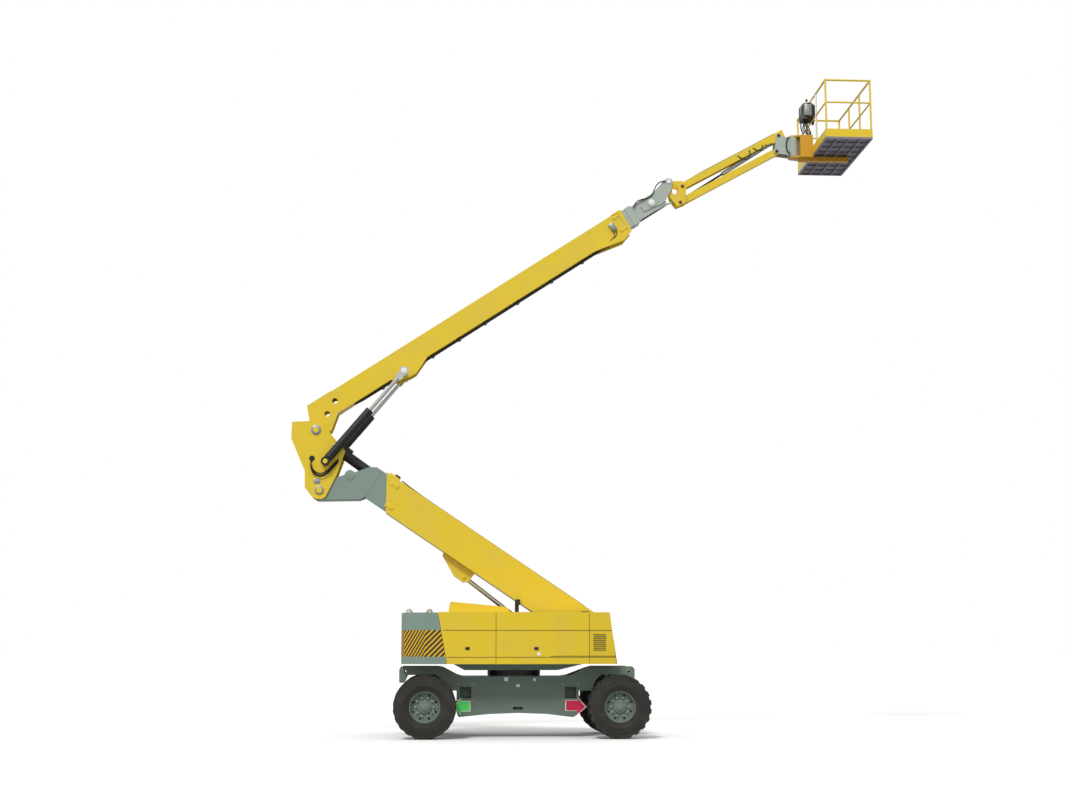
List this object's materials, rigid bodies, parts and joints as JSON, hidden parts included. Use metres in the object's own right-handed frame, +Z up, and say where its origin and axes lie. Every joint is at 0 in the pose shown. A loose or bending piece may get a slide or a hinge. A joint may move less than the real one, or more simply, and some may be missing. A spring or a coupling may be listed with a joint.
{
  "type": "articulating boom lift",
  "caption": "Self-propelled articulating boom lift: four-wheel steered chassis, slewing turntable, telescopic lifting arm, knuckle, telescopic boom, parallelogram jib and work basket.",
  "frame": {"origin": "on the ground under the slewing axis", "axes": "+X towards the jib and basket along the wheelbase, +Z up, +Y to the machine's left"},
  "size_m": [11.185, 2.49, 12.621],
  "materials": {
    "yellow_paint": "gloss",
    "grey_green_paint": "semi-gloss",
    "chassis_paint": "semi-gloss",
    "boom_grey": "semi-gloss",
    "black_paint": "satin",
    "tyre": "matte",
    "chrome": "polished",
    "cast_weight": "painted",
    "cowl_plastic": "gloss",
    "aluminium": "mill",
    "dark_plastic": "matte"
  },
  "bodies": {
    "chassis": {"chassis_frame": "chassis_paint", "chassis_side_right": "chassis_paint", "chassis_side_left": "chassis_paint", "slew_ring": "black_paint", "front_axle": "black_paint", "rear_axle": "black_paint"},
    "turntable": {"turntable_bed": "grey_green_paint", "counterweight": "cast_weight", "engine_block": "black_paint", "fluid_tanks": "black_paint", "exhaust": "black_paint"},
    "cowl_left": {"cowl_left": "cowl_plastic"},
    "cowl_right": {"cowl_right": "cowl_plastic"},
    "front_steer_rod": {"front_steer_rod": "chrome"},
    "rear_steer_rod": {"rear_steer_rod": "chrome"},
    "steer_knuckle_front_left": {"steer_knuckle_front_left": "black_paint"},
    "wheel_front_left": {"tyre_front_left": "tyre", "rim_front_left": "chassis_paint"},
    "steer_knuckle_front_right": {"steer_knuckle_front_right": "black_paint"},
    "wheel_front_right": {"tyre_front_right": "tyre", "rim_front_right": "chassis_paint"},
    "steer_knuckle_rear_left": {"steer_knuckle_rear_left": "black_paint"},
    "wheel_rear_left": {"tyre_rear_left": "tyre", "rim_rear_left": "chassis_paint"},
    "steer_knuckle_rear_right": {"steer_knuckle_rear_right": "black_paint"},
    "wheel_rear_right": {"tyre_rear_right": "tyre", "rim_rear_right": "chassis_paint"},
    "lower_arm": {"lower_arm": "yellow_paint"},
    "arm_barrel": {"arm_barrel": "black_paint"},
    "arm_rod": {"arm_rod": "chrome"},
    "arm_extension": {"arm_extension": "grey_green_paint"},
    "boom_knuckle": {"boom_knuckle": "yellow_paint"},
    "level_barrel": {"level_barrel": "black_paint"},
    "level_rod": {"level_rod": "chrome"},
    "boom_outer": {"boom_outer": "yellow_paint"},
    "boom_barrels": {"boom_barrels": "black_paint"},
    "boom_rods": {"boom_rods": "chrome"},
    "boom_mid": {"boom_mid": "boom_grey"},
    "boom_fly": {"boom_fly": "boom_grey"},
    "tip_link": {"tip_link": "yellow_paint"},
    "tip_barrel": {"tip_barrel": "black_paint"},
    "tip_rod": {"tip_rod": "chrome"},
    "jib_upper": {"jib_upper": "yellow_paint"},
    "jib_lower": {"jib_lower": "yellow_paint"},
    "jib_barrel": {"jib_barrel": "black_paint"},
    "jib_rod": {"jib_rod": "chrome"},
    "jib_head": {"jib_head": "black_paint"},
    "basket": {"basket_mount": "yellow_paint", "basket_floor": "aluminium", "basket_rails": "yellow_paint", "console": "dark_plastic"},
    "entry_bar": {"entry_bar": "yellow_paint"}
  },
  "joints": [
    {"name": "slew", "type": "hinge", "parent": "chassis", "child": "turntable", "pos_m": [0, 0, 1.222], "axis": [0, 0, 1], "continuous": true},
    {"name": "front_right_steer", "type": "hinge", "parent": "chassis", "child": "steer_knuckle_front_right", "pos_m": [1.89, -0.74, 0.575], "axis": [0, 0, 1], "range_deg": [-25, 25]},
    {"name": "front_right_spin", "type": "hinge", "parent": "steer_knuckle_front_right", "child": "wheel_front_right", "pos_m": [1.89, -1.0225, 0.575], "axis": [0, 1, 0], "continuous": true},
    {"name": "front_left_steer", "type": "hinge", "parent": "chassis", "child": "steer_knuckle_front_left", "pos_m": [1.89, 0.74, 0.575], "axis": [0, 0, 1], "range_deg": [-25, 25]},
    {"name": "front_left_spin", "type": "hinge", "parent": "steer_knuckle_front_left", "child": "wheel_front_left", "pos_m": [1.89, 1.0225, 0.575], "axis": [0, 1, 0], "continuous": true},
    {"name": "front_rod_slide", "type": "slide", "parent": "chassis", "child": "front_steer_rod", "axis": [0, -1, 0], "range_m": [-0.1034, 0.1034]},
    {"name": "rear_right_steer", "type": "hinge", "parent": "chassis", "child": "steer_knuckle_rear_right", "pos_m": [-1.67, -0.74, 0.575], "axis": [0, 0, 1], "range_deg": [-25, 25]},
    {"name": "rear_right_spin", "type": "hinge", "parent": "steer_knuckle_rear_right", "child": "wheel_rear_right", "pos_m": [-1.67, -1.0225, 0.575], "axis": [0, 1, 0], "continuous": true},
    {"name": "rear_left_steer", "type": "hinge", "parent": "chassis", "child": "steer_knuckle_rear_left", "pos_m": [-1.67, 0.74, 0.575], "axis": [0, 0, 1], "range_deg": [-25, 25]},
    {"name": "rear_left_spin", "type": "hinge", "parent": "steer_knuckle_rear_left", "child": "wheel_rear_left", "pos_m": [-1.67, 1.0225, 0.575], "axis": [0, 1, 0], "continuous": true},
    {"name": "rear_rod_slide", "type": "slide", "parent": "chassis", "child": "rear_steer_rod", "axis": [0, 1, 0], "range_m": [-0.1034, 0.1034]},
    {"name": "cowl_right_hinge", "type": "hinge", "parent": "turntable", "child": "cowl_right", "pos_m": [0, -0.35, 2.29], "axis": [-1, 0, 0], "range_deg": [0, 65]},
    {"name": "cowl_left_hinge", "type": "hinge", "parent": "turntable", "child": "cowl_left", "pos_m": [0, 0.35, 2.29], "axis": [1, 0, 0], "range_deg": [0, 65]},
    {"name": "arm_lift", "type": "hinge", "parent": "turntable", "child": "lower_arm", "pos_m": [1.45, 0, 1.96], "axis": [0, 1, 0], "range_deg": [-33.8, 36.2]},
    {"name": "arm_extend", "type": "slide", "parent": "lower_arm", "child": "arm_extension", "axis": [-0.831, 0, 0.5563], "range_m": [0, 2.9]},
    {"name": "arm_barrel_pin", "type": "hinge", "parent": "turntable", "child": "arm_barrel", "pos_m": [1, 0, 1.48], "axis": [0, 1, 0], "range_deg": [-35.44, 37.89]},
    {"name": "arm_rod_slide", "type": "slide", "parent": "arm_barrel", "child": "arm_rod", "axis": [-0.7941, 0, 0.6078], "range_m": [-0.3634, 0.389]},
    {"name": "knuckle_pin", "type": "hinge", "parent": "arm_extension", "child": "boom_knuckle", "pos_m": [-3.715, 0, 4.596], "axis": [0, 1, 0], "range_deg": [-37.2, 34.8]},
    {"name": "level_barrel_pin", "type": "hinge", "parent": "boom_knuckle", "child": "level_barrel", "pos_m": [-3.44, 0, 5.44], "axis": [0, 1, 0], "range_deg": [-30.1, 32.17]},
    {"name": "level_rod_slide", "type": "slide", "parent": "level_barrel", "child": "level_rod", "axis": [0.8141, 0, -0.5807], "range_m": [-0.4894, 0.5239]},
    {"name": "boom_lift", "type": "hinge", "parent": "boom_knuckle", "child": "boom_outer", "pos_m": [-3.8, 0, 5.751], "axis": [0, -1, 0], "range_deg": [-33.3, 41.7]},
    {"name": "boom_barrels_pin", "type": "hinge", "parent": "boom_knuckle", "child": "boom_barrels", "pos_m": [-3.605, 0, 5.137], "axis": [0, -1, 0], "range_deg": [-29, 36.07]},
    {"name": "boom_rods_slide", "type": "slide", "parent": "boom_barrels", "child": "boom_rods", "axis": [0.6419, 0, 0.7668], "range_m": [-0.2979, 0.3723]},
    {"name": "boom_extend", "type": "slide", "parent": "boom_outer", "child": "boom_mid", "axis": [0.8358, 0, 0.549], "range_m": [0, 5.4]},
    {"name": "fly_extend", "type": "slide", "parent": "boom_mid", "child": "boom_fly", "axis": [0.8358, 0, 0.549], "range_m": [-0.005, 5.405]},
    {"name": "tip_link_pin", "type": "hinge", "parent": "boom_fly", "child": "tip_link", "pos_m": [3.06268, 0, 10.8093], "axis": [0, -1, 0], "range_deg": [-42.7, 34.3]},
    {"name": "tip_barrel_pin", "type": "hinge", "parent": "boom_fly", "child": "tip_barrel", "pos_m": [1.8297, 0, 9.77206], "axis": [0, -1, 0], "range_deg": [-2.13, 2.42]},
    {"name": "tip_rod_slide", "type": "slide", "parent": "tip_barrel", "child": "tip_rod", "axis": [0.8959, 0, 0.4442], "range_m": [-0.2556, 0.2047]},
    {"name": "jib_lift", "type": "hinge", "parent": "tip_link", "child": "jib_upper", "pos_m": [3.34136, 0, 10.72939], "axis": [0, -1, 0], "range_deg": [-89, 41]},
    {"name": "jib_lower_pin", "type": "hinge", "parent": "tip_link", "child": "jib_lower", "pos_m": [3.29491, 0, 10.40066], "axis": [0, -1, 0], "range_deg": [-90, 42]},
    {"name": "jib_head_pin", "type": "hinge", "parent": "jib_upper", "child": "jib_head", "pos_m": [5.30488, 0, 11.81779], "axis": [0, -1, 0], "range_deg": [-42, 90]},
    {"name": "jib_barrel_pin", "type": "hinge", "parent": "jib_upper", "child": "jib_barrel", "pos_m": [5.1955, 0, 11.70571], "axis": [0, -1, 0], "range_deg": [-2.31, 3.85]},
    {"name": "jib_rod_slide", "type": "slide", "parent": "jib_barrel", "child": "jib_rod", "axis": [-0.8364, 0, -0.5481], "range_m": [-0.3287, 0.1531]},
    {"name": "basket_rotate", "type": "hinge", "parent": "jib_head", "child": "basket", "pos_m": [5.6, 0, 11.6], "axis": [0, 0, 1], "range_deg": [-90, 90]},
    {"name": "entry_bar_slide", "type": "slide", "parent": "basket", "child": "entry_bar", "axis": [0, 0, 1], "range_m": [0, 0.3]}
  ],
  "couplings": [
    {"joint": "front_left_steer", "follows": "front_right_steer", "ratio": 1},
    {"joint": "front_rod_slide", "follows": "front_right_steer", "m_per_rad": 0.23246},
    {"joint": "rear_left_steer", "follows": "rear_right_steer", "ratio": 1},
    {"joint": "rear_rod_slide", "follows": "rear_right_steer", "m_per_rad": 0.23246},
    {"joint": "arm_barrel_pin", "follows": "arm_lift", "ratio": 1.019},
    {"joint": "arm_rod_slide", "follows": "arm_lift", "m_per_rad": 0.611},
    {"joint": "knuckle_pin", "follows": "arm_lift", "ratio": -1},
    {"joint": "level_barrel_pin", "follows": "arm_lift", "ratio": 0.861},
    {"joint": "level_rod_slide", "follows": "arm_lift", "m_per_rad": 0.8245},
    {"joint": "boom_barrels_pin", "follows": "boom_lift", "ratio": 0.841},
    {"joint": "boom_rods_slide", "follows": "boom_lift", "m_per_rad": 0.5074},
    {"joint": "fly_extend", "follows": "boom_extend", "ratio": 1},
    {"joint": "tip_link_pin", "follows": "boom_lift", "ratio": -1},
    {"joint": "tip_barrel_pin", "follows": "boom_lift", "ratio": 0.034},
    {"joint": "tip_rod_slide", "follows": "boom_lift", "m_per_rad": -0.3471},
    {"joint": "jib_lower_pin", "follows": "jib_lift", "ratio": 1},
    {"joint": "jib_head_pin", "follows": "jib_lift", "ratio": -1},
    {"joint": "jib_barrel_pin", "follows": "jib_lift", "ratio": -0.032},
    {"joint": "jib_rod_slide", "follows": "jib_lift", "m_per_rad": 0.2097}
  ]
}
